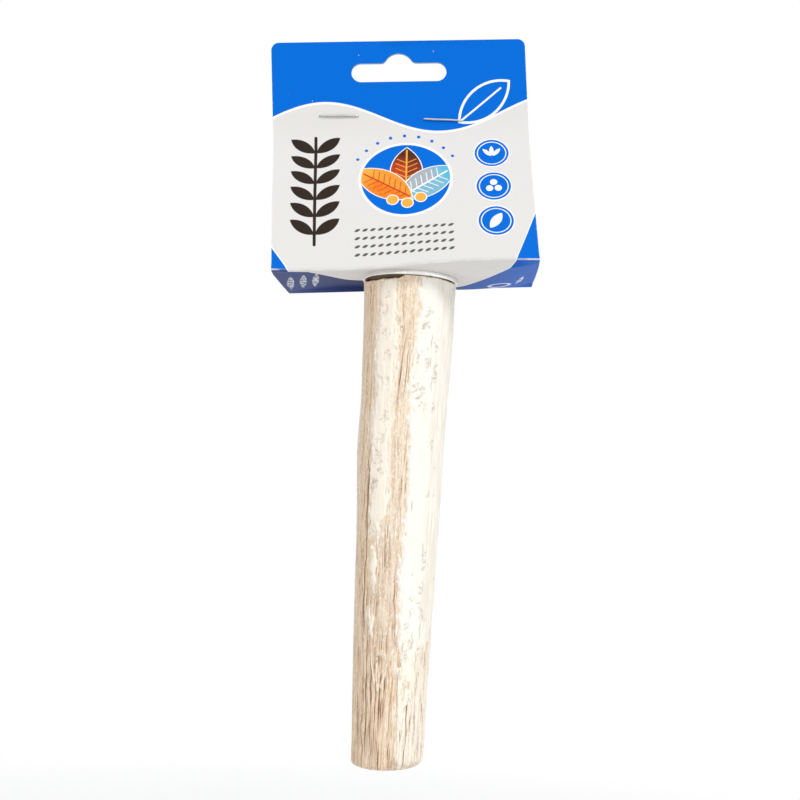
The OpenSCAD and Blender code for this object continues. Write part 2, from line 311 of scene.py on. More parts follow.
class Nodes:
    """A node tree. Numbers, tuples, colours from 0 to 255 and Values feed its nodes."""

    def __init__(self, tree):
        self.tree = tree

    def add(self, kind, inputs=(), output=0, **settings):
        node = with_settings(self.tree.nodes.new("ShaderNode" + kind), **settings)
        self.feed(node, inputs)
        return Value(self, node.outputs[output])

    def feed(self, node, inputs):
        for key, value in inputs.items() if isinstance(inputs, dict) else enumerate(inputs):
            socket = node.inputs[key]
            if isinstance(value, Value):
                self.tree.links.new(value.socket, socket)
            else:
                socket.default_value = colour(value) if socket.type == "RGBA" else value

    def mix(self, share, a, b):
        return self.add("Mix", {0: share, 6: a, 7: b}, 2, data_type="RGBA")

    def attribute(self, name):
        return self.add("Attribute", output="Fac", attribute_name=name)

    def place(self, along=1):
        """Object coordinates in millimetres, with z shrunk to stretch noise along it."""
        return self.add("TexCoord", output="Object") * (1 / MM, 1 / MM, along / MM)

    def surface(self, base, rough, bump=(0, 0, 0), specular=0.5, metallic=0):
        shader = self.tree.nodes["Principled BSDF"]
        self.feed(shader, {"Base Color": base, "Roughness": rough, "Normal": bump,
                           "Specular IOR Level": specular, "Metallic": metallic})
        return Value(self, shader.outputs[0])


def new_material(name):
    mat = with_settings(bpy.data.materials.new(name), use_nodes=True)
    return mat, Nodes(mat.node_tree)


def add_object(name, data):
    made = bpy.data.objects.new(name, data)
    bpy.context.scene.collection.objects.link(made)
    return made


def object_from(name, mesh):
    data = bpy.data.meshes.new(name)
    mesh.to_mesh(data)
    mesh.free()
    return add_object(name, data)


def new_piece(name, verts, faces, materials, body, slot, nodes, face_slots=(), sharp=40):
    """A mesh that rides on its body and stands for its CAD nodes."""
    mesh = bpy.data.meshes.new(name)
    mesh.from_pydata(np.asarray(verts) * MM, [], [tuple(f) for f in faces])
    for mat in materials:
        mesh.materials.append(mat)
    if face_slots:
        mesh.polygons.foreach_set("material_index", face_slots)
    mesh.polygons.foreach_set("use_smooth", [True] * len(mesh.polygons))
    mesh.set_sharp_from_angle(angle=radians(sharp))
    piece = add_object(name, mesh)
    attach(piece, body)
    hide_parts(*nodes)
    return piece


def store(piece, **values):
    """Keeps numbers for the piece's vertices, by name."""
    for name, numbers in values.items():
        layer = piece.data.attributes.new(name, "FLOAT", "POINT")
        layer.data.foreach_set("value", np.ravel(numbers))


def around_axis(radii, turn, z, shift=0):
    """Points round the bolt's axis, with turns from the front."""
    x, y = radii * np.sin(turn * 2 * pi) + shift, -radii * np.cos(turn * 2 * pi)
    return np.stack(np.broadcast_arrays(x, y, z), axis=-1)


def ring_faces(rows, columns):
    """Quads between rings of vertices."""
    a = np.arange((rows - 1) * columns).reshape(-1, columns)
    b = np.roll(a, -1, axis=1)
    return np.stack([b, a, a + columns, b + columns], axis=-1).reshape(-1, 4)


def stack_rings(rings):
    """Points and faces of a skin over rings, closed at both ends."""
    rows, columns = len(rings), len(rings[0])
    last = (rows - 1) * columns
    ends = [range(columns), range(last + columns - 1, last - 1, -1)]
    return np.concatenate(rings), [*ring_faces(rows, columns), *ends]


def shell(faces, count):
    """A sheet's faces, their copies behind it, count vertices on, a rim, and the side of each."""
    directed = {(f[i - 1], f[i]) for f in faces for i in range(len(f))}
    rim = sorted((b, a, a + count, b + count) for a, b in directed if (b, a) not in directed)
    sides = [0] * len(faces) + [1] * len(faces) + [2] * len(rim)
    return [*faces, *(f[::-1] + count for f in faces), *rim], sides


# The branch


def branch_radius(d):
    """Radius of the bare wood."""
    return TIP_R + TAPER * (ROD_L - d) + FLARE * (1 - np.minimum(d / NECK_L, 1)) ** 2


def branch_bend(d):
    """How far the branch's middle is to the right of the axis."""
    share = d / ROD_L
    return -0.34 * np.sin(pi * np.clip(share / 0.85, 0, 1)) + 0.12 * share + 0.2 * share ** 4


def uneven_radius(turn, d):
    """The radius with slow swellings, a knot and a thinner lower part."""
    slow, quick = uneven(turn, d, 4, 34, 11), uneven(turn, d, 9, 13, 12)
    thin = 0.22 * smooth((d / ROD_L - 0.68) / 0.25)
    knot = 0.7 * np.exp(-(apart(turn, KNOT[0] / 360) / 0.13) ** 2 - ((d - KNOT[1]) / 17) ** 2)
    return branch_radius(d) + (0.5 * slow + 0.25 * quick - thin + knot + 0.1) * smooth(d / 8)


def grain_turn(turn, d):
    """Turn along the winding, wavering grain."""
    return (turn + GRAIN_TURNS * d / ROD_L + 0.02 * uneven(turn, d, 6, 28, 13)) % 1


# Long cracks: angles of both ends, shares of the length at both ends, depth
CRACKS = [
    (3, -8, 0.08, 0.3, 0.38), (7, -1, 0.11, 0.32, 0.28), (-4, -1, 0.32, 0.375, 0.4),
    (-10, -11, 0.05, 0.15, 0.24), (-12, -13, 0.16, 0.27, 0.24), (-44, -45, 0.34, 0.55, 0.62),
    (-44, -47, 0.5, 0.76, 0.6), (-52, -46, 0.12, 0.3, 0.26), (-25, -25, 0.49, 0.67, 0.32),
    (-14, -14, 0.5, 0.64, 0.3), (-7, -6, 0.52, 0.6, 0.3), (2, 4, 0.55, 0.75, 0.4),
    (-46, -44, 0.69, 0.97, 0.34), (-38, -36, 0.72, 0.99, 0.5), (-30, -28, 0.75, 0.97, 0.42),
    (-22, -20, 0.7, 0.99, 0.4), (-13, -15, 0.75, 0.99, 0.45), (-5, -8, 0.69, 0.94, 0.4),
    (4, 2, 0.79, 0.98, 0.34), (14, 12, 0.75, 0.99, 0.3), (30, 29, 0.75, 0.98, 0.36),
    (22, 22, 0.8, 0.94, 0.26), (45, 43, 0.7, 0.94, 0.34), (56, 55, 0.66, 0.84, 0.26),
    (128, 124, 0.1, 0.6, 0.45), (-104, -100, 0.3, 0.8, 0.45), (178, 182, 0.5, 0.9, 0.4),
    (110, 112, 0.55, 0.95, 0.3)]
PORES = 3400


def carve_pores(turn, d_rows):
    """Depth of pores and cracks on the branch's side."""
    rng = np.random.default_rng(21)
    strokes = [(a / 360, (b - a) / 360, s * ROD_L, (e - s) * ROD_L, 0.1 + 0.24 * deep, deep)
               for a, b, s, e, deep in CRACKS]
    for _ in range(PORES):
        start = rng.random() ** 0.6 * ROD_L
        length = 3 + 18 * rng.random() ** 2
        low = 0.5 + 0.8 * start / ROD_L
        strokes.append((rng.random(), rng.normal(0, 0.002), start, length,
                        0.09 + 0.05 * rng.random(), low * (0.06 + 0.34 * rng.random() ** 2)))
    depth = np.zeros((len(d_rows), len(turn)))
    for at, lean, start, length, width, deep in strokes:
        rows = (d_rows > start) & (d_rows < start + length)
        if rows.any():
            d = d_rows[rows][:, None]
            share = (d - start) / length
            middle = at + lean * share - 0.008 * uneven(at, d, 40, 3.2, 14)
            off = apart(turn, middle) * 2 * pi * branch_radius(d)
            shape = np.exp(-(off / width) ** 2) * np.sin(pi * share) ** 0.5
            worn = 0.85 + 0.8 * uneven(at, d, 60, 4, 17)
            depth[rows] = np.maximum(depth[rows], deep * worn * shape)
    return depth


def rim_chips(turn):
    """How far the rim is broken away under the washer."""
    angle = apart(turn, 0) * 360
    ragged, fine = uneven(turn, 0, 70, 1, 31) + 0.5, uneven(turn, 0, 190, 1, 32) + 0.5
    gap = smooth((angle + 82) / 14) * smooth((-3 - angle) / 10)
    small = smooth((angle - 42) / 8) * smooth((78 - angle) / 8)
    behind = smooth((abs(angle) - 110) / 25)
    depth = 1.3 * gap + 0.2 * small + 0.6 * behind
    return 0.06 + depth * (0.5 + 0.5 * ragged) + (0.1 + 0.2 * gap) * fine


def rim_settle(turn, d):
    """How far the side sinks with the broken rim."""
    return rim_chips(turn) * np.exp(-(d - BASE_ROUND) / 1.2)


# Crumbly ribs: (angle, d)
RIBS = [
    [(-43, 103), (-35, 105.5), (-30, 110), (-29, 115), (-27.5, 119), (-23, 124)],
    [(-19, 115), (-7, 115.5), (-5, 118.5), (-7, 121.5), (-13, 125)],
    [(-20, 117), (-20, 122), (-17, 126)], [(-44, 110), (-41, 114)]]


def raise_ribs(turn, d_rows):
    """Height of the ribs on the branch's side, from 0 to 1."""
    high = 0
    for rib in RIBS:
        steps = np.linspace(0, len(rib) - 1, 14 * len(rib))
        angles, places = (np.interp(steps, range(len(rib)), column) for column in zip(*rib))
        for angle, place in zip(angles, places):
            across = apart(turn, angle / 360) * 2 * pi * TIP_R
            down = d_rows[:, None] - place
            high = np.maximum(high, np.exp(-(across / 0.26) ** 2 - (down / 0.6) ** 2))
    return high


def make_wood():
    mat, n = new_material("pale_wood")
    streaks = n.place(0.05).noise(1.7, 4, 0.62)
    broad = n.place(0.09).noise(0.17)
    fleck = n.place(0.25).noise(3, 2)
    crumbs = n.place(0.55).noise(1.7, 3, 0.65)
    base = n.mix(streaks.ramp(0.36, 0.6), (223, 194, 161), (248, 229, 203))
    base = n.mix(broad.ramp(0.42, 0.66, 0, 0.5), base, (234, 208, 190))
    base = n.mix(fleck.ramp(0.56, 0.72, 0, 0.4), base, (188, 148, 112))
    # Crumbs of coating in the grain
    rubbed = n.attribute("dust")
    crumb = (rubbed * 0.22 + crumbs).ramp(0.59, 0.64)
    base = n.mix(crumb * 0.85, base, (253, 243, 224))
    base = n.mix(rubbed * streaks.ramp(0.3, 0.56, 0.6, 1), base, (251, 244, 230))
    # Thin dark lines
    lines = abs(n.place(0.025).noise(2.1, 2) - 0.5).ramp(0, 0.035, 1, 0)
    breaks = n.place(0.12).noise(0.5, 2).ramp(0.4, 0.58, 0.2, 0.9)
    base = n.mix(lines * breaks, base, (166, 122, 86))
    # Darker brown in pores, cracks and hollows, partly painted shade as it deepens with them, and painted
    # shade in the gap under the washer
    base = n.mix(n.attribute("groove").ramp(0.28, 1, 0, 0.9), base, (146, 104, 70))
    height = streaks + fleck * 0.5 + crumbs + crumb * 0.15
    n.surface(base, streaks.ramp(0.3, 0.7, 0.86, 0.7), height.bump(0.14, 0.8), 0.15)
    return mat


def band_field(turn, d, bands):
    """Distance into the nearest band, and the band's value."""
    share = d / ROD_L
    best, value = -FAR, 0
    for band in bands:
        at, left, right, strength = (np.array(column) for column in zip(*band))
        half = np.interp(share, at, (right - left) / 720) * GIRTH
        off = abs(apart(turn, np.interp(share, at, (left + right) / 720))) * GIRTH
        inside = np.minimum(half - off, np.minimum(share - at[0], at[-1] - share) * ROD_L)
        value = np.where(inside > best, np.interp(share, at, strength), value)
        best = np.maximum(inside, best)
    return best, value


def coat_field(turn, d):
    """Distance into the coating with its ragged edges, and its wear."""
    field, worn = band_field(turn, d, BANDS)
    along = grain_turn(turn, d)
    for size, *cells in ((1, 44, 5, 41), (1.2, 130, 1.5, 42), (0.8, 100, 8, 43), (1.1, 210, 1, 48)):
        field = field + size * uneven(along, d, *cells)
    # Streaks and flakes of bare wood
    bare = 0.6 * uneven(along, d, 84, 9, 44) + 0.4 * uneven(along, d, 60, 2.4, 47) - 0.28
    return field - worn * 5 * smooth((bare + 0.3 * worn) / 0.16), worn


def branch_side(turn, d_rows):
    """Radius, dust and the darkness of grooves, partly painted shade, on the branch's side."""
    t2, d2 = np.meshgrid(turn, d_rows)
    along = grain_turn(t2, d2)
    fibre, coarse = uneven(along, d2, 216, 11, 15), uneven(along, d2, 96, 24, 16)
    ribs = raise_ribs(turn, d_rows)
    pores = carve_pores(turn, d_rows) * (1 - ribs)
    radius = uneven_radius(t2, d2) + 0.1 * fibre + 0.1 * coarse + 0.27 * ribs - pores
    coat, _ = coat_field(t2, d2)
    rubbed, pale = band_field(t2, d2, RUBBED)
    dust = np.maximum(0.45 * smooth((coat + 2.2) / 2.2), pale * smooth((rubbed + 0.5 + 4 * coarse) / 3))
    # Darkness in pores and cracks by their depth, partly painted shade, and in the hollows of the coarse
    # relief
    groove = pores / 0.34 + np.clip(-coarse - 0.25, 0, 1) * 0.3
    return radius, np.maximum(dust, 0.5 * ribs), groove


def make_branch():
    turn = np.arange(ROD_COLUMNS) / ROD_COLUMNS
    d_rows = np.linspace(BASE_ROUND, ROD_L - TIP_ROUND, SIDE_ROWS)
    radius, dust_side, groove_side = branch_side(turn, d_rows)
    chips = rim_chips(turn)
    rows = []

    def ring(radii, depth, dust=0.1, groove=0.15):
        rows.append(np.broadcast_arrays(radii, depth, dust, groove, turn)[:4])

    # The bolt's hole, from its bottom up, with a little painted shade
    for r, depth in ((0.02, PILOT_L), (PILOT_R, PILOT_L), (PILOT_R, SHANK_L), (SHANK_HOLE_R, SHANK_L),
                     (SHANK_HOLE_R, 0)):
        ring(r, depth)
    # The mounting face and its broken, rounded rim, with painted shade growing towards the rim for the gap
    # under the washer
    rim = radius[0] - BASE_ROUND
    for share in (0.5, 0.75, 0.88, 0.94, 0.98, 1):
        ring(rim * share, chips * smooth((share - 0.66) / 0.24), 0.1,
             0.2 + 0.8 * smooth((share - 0.8) / 0.15))
    for out, down in arc(0, BASE_ROUND, BASE_ROUND, -67.5, -22.5, 2):
        ring(rim + out, chips + down, dust_side[0], 0.25)
    for d, *row in zip(d_rows, radius, dust_side, groove_side):
        ring(row[0], d + rim_settle(turn, d), *row[1:])
    # The free end's edge is sharper on the left, and the saw cut rises to the right
    sideways = np.sin(turn * 2 * pi)
    power = 1.35 - 0.95 * smooth((0.75 - sideways) / 1.3)
    askew = 0.3 * smooth(sideways)
    for share in np.arange(1, 10) / 9:
        inward = TIP_ROUND * (1 - cos(pi / 2 * share) ** power)
        depth = ROD_L - TIP_ROUND + TIP_ROUND * sin(pi / 2 * share) ** power - askew * share
        ring(radius[-1] - inward, depth, dust_side[-1] * (1 - share), groove_side[-1] * (1 - 0.5 * share))
    for share in (0.94, 0.86, 0.77, 0.67, 0.56, 0.44, 0.31, 0.17, 0.01):
        saw = 0.12 * (uneven(turn, share * 9, 40, 1, 51) + 0.5)
        ring((radius[-1] - TIP_ROUND) * share, ROD_L - askew * share - saw, 0.05,
             0.2 + 0.3 * ((share * 10) % 2 > 1))
    radii, depth, dust, groove = np.stack(rows, axis=1)
    rings = around_axis(radii, turn, ROD_TOP - depth, branch_bend(depth))
    piece = new_piece("branch", *stack_rings(rings), [make_wood()], "perch", "wood", ["perch_rod"],
                      sharp=75)
    store(piece, dust=dust, groove=groove)


PITS = 1100
PIT_RING = 1.2
# Rings of pits: angle, d
PIT_GROUPS = [
    (-27, 6), (-31, 11), (-30, 18), (-24, 25), (-25, 32), (-22, 44), (-27, 50), (-30, 56), (-35, 65),
    (-25, 61), (-35, 79), (28, 12), (22, 16), (17, 25), (30, 27), (14, 34), (24, 36), (40, 22), (28, 41),
    (44, 52), (44, 67), (42, 88), (40, 95), (24, 98), (20, 107), (36, 101), (24, 112), (22, 124),
    (30, 130), (43, 30), (45, 40), (46, 104), (42, 114), (20, 116)]
# Scores in the coating: angle, d, length
SCORES = [
    (-36, 65.5, 6), (-36, 78.5, 4), (36, 20, 5), (37, 26.5, 3), (21, 70.5, 3.4), (17, 25, 3), (40, 33, 5),
    (-12, 31, 4), (-13, 12, 4), (9, 24, 3), (42, 84, 5), (32, 111, 6), (40, 118, 8), (14, 121, 4),
    (22, 126, 6), (30, 131, 7), (36, 128, 5), (17, 113, 4), (44, 108, 6), (26, 103, 3)]


def carve_pits(turns, d_rows):
    """Pits and scores in the coating, from 0 to 1."""
    rng = np.random.default_rng(61)
    groups = [(angle / 360, d) for angle, d in PIT_GROUPS]
    groups += [(0.25 + 0.5 * rng.random(), rng.random() * ROD_L) for _ in range(24)]
    pits = np.zeros((len(d_rows), len(turns)))
    for i in range(PITS):
        turn, d, around = rng.random(), rng.random() * ROD_L, rng.normal(0, 1.2)
        if i % 6:
            turn, d = groups[rng.integers(len(groups))]
            reach = PIT_RING * (0.85 + 0.45 * rng.normal())
            turn += reach * cos(around) / GIRTH
            d += 1.3 * reach * sin(around)
        # A pit is longest along its ring
        tilt = around + pi / 2 + 0.4 * rng.normal()
        wide = 0.1 + 0.08 * rng.random() + 0.1 * abs(cos(tilt))
        long = wide * (1.2 + 3.4 * rng.random())
        rows = abs(d_rows - d) < 2.5 * long
        if rows.any():
            down = (d_rows[rows] - d)[:, None]
            off = apart(turns, turn) * GIRTH
            along = off * cos(tilt) + down * sin(tilt)
            across = off * sin(tilt) - down * cos(tilt)
            shape = np.exp(-(across / wide) ** 2 - (along / long) ** 2)
            pits[rows] = np.maximum(pits[rows], shape * (0.3 + 0.7 * rng.random()))
    for angle, d, length in SCORES:
        down = (d_rows - d)[:, None] / (length / 2)
        waver = value_noise(angle + 180, d_rows[:, None], 62, 400) - 0.5
        off = apart(turns, angle / 360) * GIRTH + 0.5 * waver
        pits = np.maximum(pits, 0.9 * np.exp(-(off / 0.2) ** 2 - down ** 4))
    return pits


def make_calcium():
    mat, n = new_material("chalky_calcium")
    cloud = n.place(0.3).noise(0.22).ramp(0.35, 0.65)
    grain = n.place().noise(4.5, 4, 0.6)
    brush = n.place(0.06).noise(1.3, 3, 0.6)
    worn = n.attribute("worn")
    white = n.mix(cloud, (250, 247, 238), (247, 243, 233))
    warm = n.mix(cloud, (253, 245, 230), (250, 238, 223))
    base = n.mix(n.attribute("cream").most(worn.ramp(0.3, 0.9)), white, warm)
    base = n.mix(brush.ramp(0.5, 0.7) * worn.ramp(0, 1, 0.1, 0.6), base, (232, 214, 188))
    base = n.mix(brush.ramp(0.42, 0.6) * n.attribute("side"), base, (238, 229, 213))
    # Painted shade darkens the pits and scores, more with their depth
    base = n.mix(n.attribute("pit_shade").ramp(0.15, 0.9, 0, 0.66), base, (158, 144, 118))
    height = grain * 0.5 + brush
    n.surface(base, grain.ramp(0.3, 0.7, 0.95, 0.8), height.bump(0.1, 0.7), 0.15)
    return mat


def make_coat():
    """Closed shells whose edges dive into the wood, in two halves."""
    d_rows = np.linspace(COAT_BASE_GAP, ROD_L - COAT_TIP_GAP, COAT_ROWS)
    turns = np.arange(COAT_COLUMNS) / COAT_COLUMNS
    turn, d = np.meshgrid(turns, d_rows)
    field, worn = coat_field(turn, d)
    along = grain_turn(turn, d)
    cover = smooth(field / 0.8)
    pits = carve_pits(turns, d_rows) * cover
    lip = 0.08 * np.exp(-((field - 0.7) / 0.5) ** 2)
    rough = 0.14 * (uneven(along, d, 150, 2.2, 45) + uneven(along, d, 190, 8, 46))
    height = cover * (COAT_T * (1 - 0.5 * worn) + rough + lip) - 0.3 * pits
    wood = uneven_radius(turn, d)
    outer = wood + height - 0.5 * smooth(-field / 0.7)
    inner = np.minimum(outer - 0.15, wood - 0.65)
    # Creamier left of the front, and streaky on the right side
    angle = apart(turn, 0) * 360
    # The pits' depth also sets the painted shade in them
    looks = {"pit_shade": pits, "worn": worn,
             "cream": smooth((6 - angle) / 10) * smooth((angle + 170) / 60),
             "side": smooth((angle - 36) / 12) * smooth((175 - angle) / 60)}
    z = ROD_TOP - d - rim_settle(turn, d)
    points = np.stack([around_axis(r, turn, z, branch_bend(d)) for r in (outer, inner)]).reshape(-1, 3)
    quads = ring_faces(COAT_ROWS, COAT_COLUMNS)
    quads = quads[field.ravel()[quads].max(axis=1) > -0.55]
    front = np.cos(turn.ravel()[quads] * 2 * pi).mean(axis=1) > 0
    mat = make_calcium()
    for name, chosen in (("calcium_front", quads[front]), ("calcium_back", quads[~front])):
        used, faces = np.unique(shell(chosen, turn.size)[0], return_inverse=True)
        piece = new_piece(name, points[used], faces.reshape(-1, 4), [mat], "perch", "calcium",
                          ["calcium_coat"], sharp=75)
        store(piece, **{label: np.tile(values.ravel(), 2)[used] for label, values in looks.items()})


# The hardware


def make_zinc(name, tint, rough, along):
    mat, n = new_material(name)
    cloud = n.place().noise(0.7, 4, 0.6)
    grit = n.place(along).noise(6)
    base = n.mix(cloud.ramp(0.35, 0.7), tint, [c * 0.93 for c in tint])
    n.surface(base, grit.ramp(0.3, 0.75, rough - 0.06, rough + 0.12), grit.bump(0.03, 0.5), metallic=1)
    return mat


def make_washer(node, body, mat):
    """A profile with round corners, turned round the axis."""
    low, high = (corner.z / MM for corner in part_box(node))
    outer, edge, inner = WASHER_ROUND, WASHER_SHARP, WASHER_HOLE_R + WASHER_SHARP
    profile = (arc(WASHER_R - outer, low + outer, outer, -90, 0, 4)
               + arc(WASHER_R - edge, high - edge, edge, 0, 90, 4)
               + arc(inner, high - edge, edge, 90, 180, 4) + arc(inner, low + edge, edge, 180, 270, 4))
    turn = np.arange(160) / 160
    verts = np.concatenate([around_axis(r, turn, z) for r, z in profile])
    faces = ring_faces(len(profile) + 1, len(turn))[:, ::-1] % len(verts)
    new_piece(node + "_ring", verts, faces, [mat], body, "zinc_steel", [node], sharp=60)


def make_bolt(mat):
    """Machine thread above, a plain shank, wood thread and a point below."""
    heights = np.concatenate([
        np.linspace(STUD_TOP, 0, int((STUD_TOP / MACHINE_PITCH) * 10)),
        np.linspace(-0.2, WOOD_THREAD_TOP, 8)[:-1], np.linspace(WOOD_THREAD_TOP, STUD_TIP, 190)])
    z, turn = np.meshgrid(heights, np.arange(BOLT_COLUMNS) / BOLT_COLUMNS, indexing="ij")

    def saw(pitch):
        """From 0 to 1 and back in each pitch."""
        return abs((z / pitch - turn) % 1 - 0.5) * 2

    machine = STUD_R - MACHINE_DEPTH * smooth((saw(MACHINE_PITCH) - 0.12) / 0.76) * smooth(z / 1.5)
    machine = np.minimum(machine, STUD_R - STUD_CHAMFER + STUD_TOP - z)
    screw = WOOD_CORE_R + (STUD_R - WOOD_CORE_R) * smooth((saw(WOOD_PITCH) - 0.6) / 0.34)
    screw = np.minimum(screw, ((z - STUD_TIP) / (POINT_L * 2) * STUD_R + 0.05) * 1.6)
    radii = np.where(z >= 0, machine, np.where(z > WOOD_THREAD_TOP, STUD_R, screw))
    new_piece("threaded_bolt", *stack_rings(around_axis(radii, turn, z)), [mat], "perch", "zinc_steel",
              ["hanger_bolt"], sharp=70)


def cone(mesh, base_r, top_r, height, place, segments=64):
    bmesh.ops.create_cone(mesh, cap_ends=True, segments=segments, radius1=base_r, radius2=top_r,
                          depth=height, matrix=place)


def add_wing(mesh, side, seat, lobe):
    """A round lobe and a plate from it to the hub."""
    cone(mesh, LOBE_R, LOBE_R, WING_T, Matrix.Translation(lobe) @ Matrix.Rotation(pi / 2, 4, "X"), 48)
    foot, head = seat + 0.16 * HUB_H, seat + 0.92 * HUB_H
    outline = [(0, foot), (HUB_BASE_R, foot), *arc(abs(lobe.x), lobe.z, LOBE_R, -40, 130, 1),
               (HUB_TOP_R, head), (0, head)]
    near, far = ([mesh.verts.new((side * x, y, z)) for x, z in outline] for y in (-WING_T / 2, WING_T / 2))
    mesh.faces.new(near[::side])
    mesh.faces.new(far[::-side])
    for i in range(len(near)):
        mesh.faces.new([near[i], near[i - 1], far[i - 1], far[i]][::side])


def make_nut(mat):
    """Hub and wings joined, rounded as a casting, then bored."""
    low, high = (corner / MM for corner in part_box("wing_nut"))
    hub = Matrix.Translation((0, 0, low.z + HUB_H / 2))
    mesh = bmesh.new()
    cone(mesh, HUB_BASE_R, HUB_TOP_R, HUB_H, hub)
    for side in (-1, 1):
        add_wing(mesh, side, low.z, Vector((side * (high.x - LOBE_R), 0, high.z - LOBE_R)))
    bmesh.ops.recalc_face_normals(mesh, faces=mesh.faces)
    blank = object_from("nut_blank", mesh)
    drill = bmesh.new()
    cone(drill, NUT_BORE_R, NUT_BORE_R, 3 * HUB_H, hub)
    bore = object_from("bore", drill)
    modify = blank.modifiers.new
    with_settings(modify("cast", "REMESH"), mode="VOXEL", voxel_size=0.28)
    with_settings(modify("soften", "SMOOTH"), factor=0.5, iterations=7)
    with_settings(modify("bore", "BOOLEAN"), operation="DIFFERENCE", object=bore, solver="EXACT")
    cast = blank.evaluated_get(bpy.context.evaluated_depsgraph_get()).to_mesh()
    verts, faces = [tuple(v.co) for v in cast.vertices], [tuple(p.vertices) for p in cast.polygons]
    bpy.data.objects.remove(blank)
    bpy.data.objects.remove(bore)
    new_piece("wing_nut_cast", verts, faces, [mat], "nut", "nut_metal", ["wing_nut"], sharp=50)


# The header card, as one sheet. On it u runs to the right, and q along the sheet from the middle of
# its bottom, negative to the front

FOLD_MID_R = FOLD_R - BOARD_T / 2
FOLD_START = HALF_DEPTH - FOLD_R
LEAN = 0.4
for _ in range(12):
    LEAN = atan((FOLD_START + FOLD_MID_R * cos(LEAN) - BOARD_T / 2)
                / (SLEEVE_H - FOLD_R - FOLD_MID_R * sin(LEAN)))
FOLD_END = FOLD_START + FOLD_MID_R * (pi / 2 + LEAN)
FOLD_Q = (FOLD_START + FOLD_END) / 2
LEAN_L = (SLEEVE_H - FOLD_R - FOLD_MID_R * sin(LEAN)) / cos(LEAN)
BEND_START = FOLD_END + LEAN_L - BEND_R * tan(LEAN / 2)
BEND_END = BEND_START + BEND_R * LEAN
BEND_TOP = SLEEVE_H + BEND_R * tan(LEAN / 2)


def q_at(w):
    """Length along the sheet to a height on the upright plies."""
    return BEND_END + w - BEND_TOP


def sheet_section(q):
    """The board's middle and its normal: distance from the middle plane, height."""
    s = abs(q)
    turn = np.clip((s - FOLD_START) / FOLD_MID_R, 0, pi / 2 + LEAN) - pi / 2
    run = np.clip(s - FOLD_END, 0, BEND_START - FOLD_END)
    share = run / (BEND_START - FOLD_END)
    bulge = PANEL_BULGE * 4 * share * (1 - share)
    out = np.minimum(s, FOLD_START) + FOLD_MID_R * np.cos(turn) - run * sin(LEAN) + bulge * cos(LEAN)
    up = FOLD_R + FOLD_MID_R * np.sin(turn) + run * cos(LEAN) + bulge * sin(LEAN)
    swing = LEAN - np.clip((s - BEND_START) / BEND_R, 0, LEAN)
    high = (BOARD_T / 2 + BEND_R * (1 - np.cos(swing)),
            BEND_TOP - BEND_R * np.sin(swing) + np.maximum(s - BEND_END, 0), np.cos(swing), np.sin(swing))
    return np.where(s > BEND_START, high, (out, up, np.cos(turn), np.sin(turn)))


def place_sheet(u, q, side):
    """Points of the folded card. side is 1 on the printed face, -1 on the inner one."""
    out, up, n_out, n_up = sheet_section(q)
    out = out + side * n_out * BOARD_T / 2
    up = up + side * n_up * BOARD_T / 2
    s = abs(q)
    # The bottom is square to the bolt between the washers, and turns to the tilt outwards
    seat_left, seat_right = ((CARD_OFFSET + r) / cos(CARD_TILT) for r in (-SEAT_R, SEAT_R))
    ends = np.where(u < 0, (seat_left - u) / (seat_left + CARD_W / 2),
                    (u - seat_right) / (CARD_W / 2 - seat_right))
    sides = np.clip((s - SEAT_R) / (FOLD_START - SEAT_R), 0, 1)
    tilted = 1 - (1 - np.clip(ends, 0, 1)) * (1 - sides)
    # Folds, plies and cut edges aren't quite straight
    along = u / CARD_W
    front = 0.7 * np.sin(2 * pi * along) - 0.2 * np.cos(pi * along)
    up = up + np.where(q < 0, front, -0.85 * along - 0.3) * sides * (1 - smooth((s - FOLD_END) / 30))
    sway = 0.35 * np.sin(1.3 * pi * along + 0.6) * smooth((s - BEND_END) / 25)
    y = np.where(q < 0, -out, out) + sway
    at, left, right = zip(*EDGE_STRAY)
    u = (u + np.interp(q, at, left) * smooth((-u - 24) / 17)
         + np.interp(q, at, right) * smooth((u - 22) / 19))
    x = u * cos(CARD_TILT) - tilted * up * sin(CARD_TILT) - CARD_OFFSET
    z = tilted * u * sin(CARD_TILT) + up * (1 + tilted * (cos(CARD_TILT) - 1))
    return np.stack([x, y, z], axis=-1)


def slot_loop():
    """Outline of the hang slot, as (u, height)."""
    level, half, r = CARD_H - SLOT_DROP, (SLOT_W - SLOT_H) / 2, SLOT_H / 2
    centre = level + r + NOTCH_RISE - NOTCH_R
    cut = asin((level + r - centre) / NOTCH_R)
    foot = NOTCH_R * cos(cut)
    # A small round on each side of the notch
    ease = [(foot + NOTCH_EASE, level + r), (foot + 0.35 * NOTCH_EASE, level + r + 0.12 * NOTCH_EASE)]
    loop = arc(half, level, r, -90, 90, 16) + ease
    loop += arc(0, centre, NOTCH_R, degrees(cut) + 9, 180 - degrees(cut) - 9, 22)
    loop += [(-u, w) for u, w in ease[::-1]] + arc(-half, level, r, 90, 270, 16)
    return [(u + SLOT_SHIFT, w - u * TOP_SLOPE) for u, w in loop]


def top_corners():
    """One ply's round corners, from right to left, as (u, height)."""
    inset = CARD_W / 2 - CORNER_R
    right_w, left_w = (CARD_H - CORNER_R + slope * CARD_W / 2 for slope in (-TOP_SLOPE, TOP_SLOPE))
    return arc(inset, right_w, CORNER_R, 0, 90, 9) + arc(-inset, left_w, CORNER_R, 90, 180, 9)


